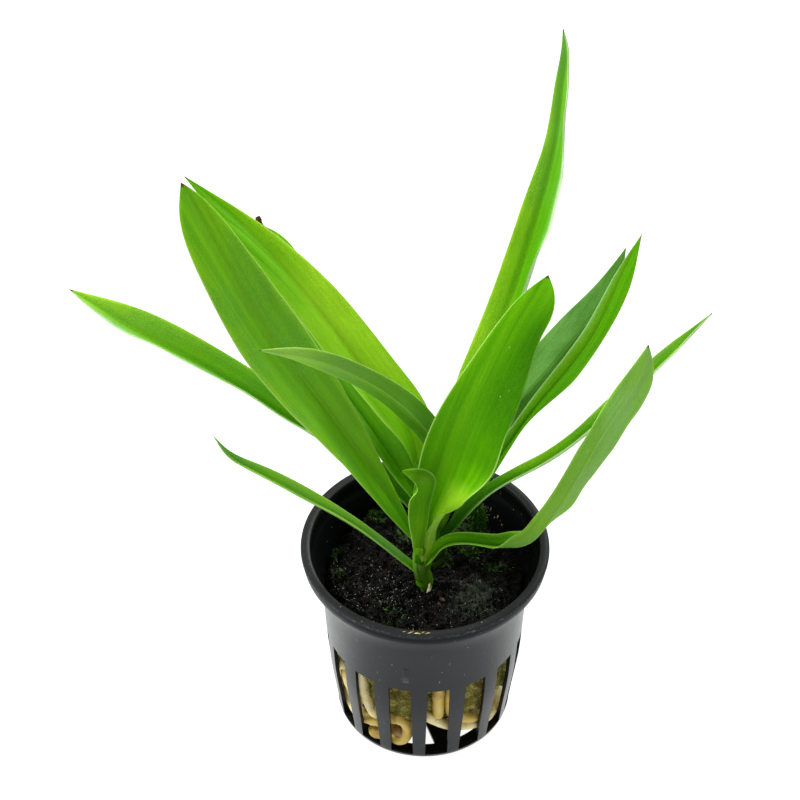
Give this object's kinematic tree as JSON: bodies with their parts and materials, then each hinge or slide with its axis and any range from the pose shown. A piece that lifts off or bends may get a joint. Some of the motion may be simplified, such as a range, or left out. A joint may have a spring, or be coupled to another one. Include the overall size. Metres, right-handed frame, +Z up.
{
  "type": "potted ladies tresses plant",
  "caption": "Leafy water plant rooted in a moss plug inside a slotted plastic net pot that stands on its flat base.",
  "frame": {"origin": "centre of the net pot's underside, on the surface it stands on", "axes": "+Z up along the pot's axis, -Y towards the side seen in the picture, +X to that side's right"},
  "size_m": [0.135, 0.0704, 0.165],
  "materials": {
    "pot": "satin dark grey moulded plastic",
    "plug": "wet peat and moss",
    "shoot": "smooth green",
    "old_leaf": "dead leaf grown over with moss",
    "leaf": "waxy green",
    "root": "smooth cream"
  },
  "bodies": {
    "root": {"net_pot": "pot", "moss_plug": "plug", "front_shoot": "shoot", "back_shoot": "shoot", "old_leaf": "old_leaf", "leaf_far_left": "leaf", "leaf_broad_left": "leaf", "leaf_back_left": "leaf", "leaf_inner_left": "leaf", "leaf_withered_tip": "leaf", "leaf_arching_left": "leaf", "leaf_broad_centre": "leaf", "leaf_tallest": "leaf", "leaf_back_right": "leaf", "leaf_wavy_right": "leaf", "leaf_bent_right": "leaf", "leaf_far_right": "leaf", "leaf_low_left": "leaf", "leaf_youngest": "leaf", "root_left_upright": "root", "root_left_low": "root", "root_front_curl": "root", "root_front_upright": "root", "root_front_right": "root", "root_low_right": "root", "root_back_right": "root", "root_back": "root", "root_back_left": "root"}
  },
  "joints": []
}
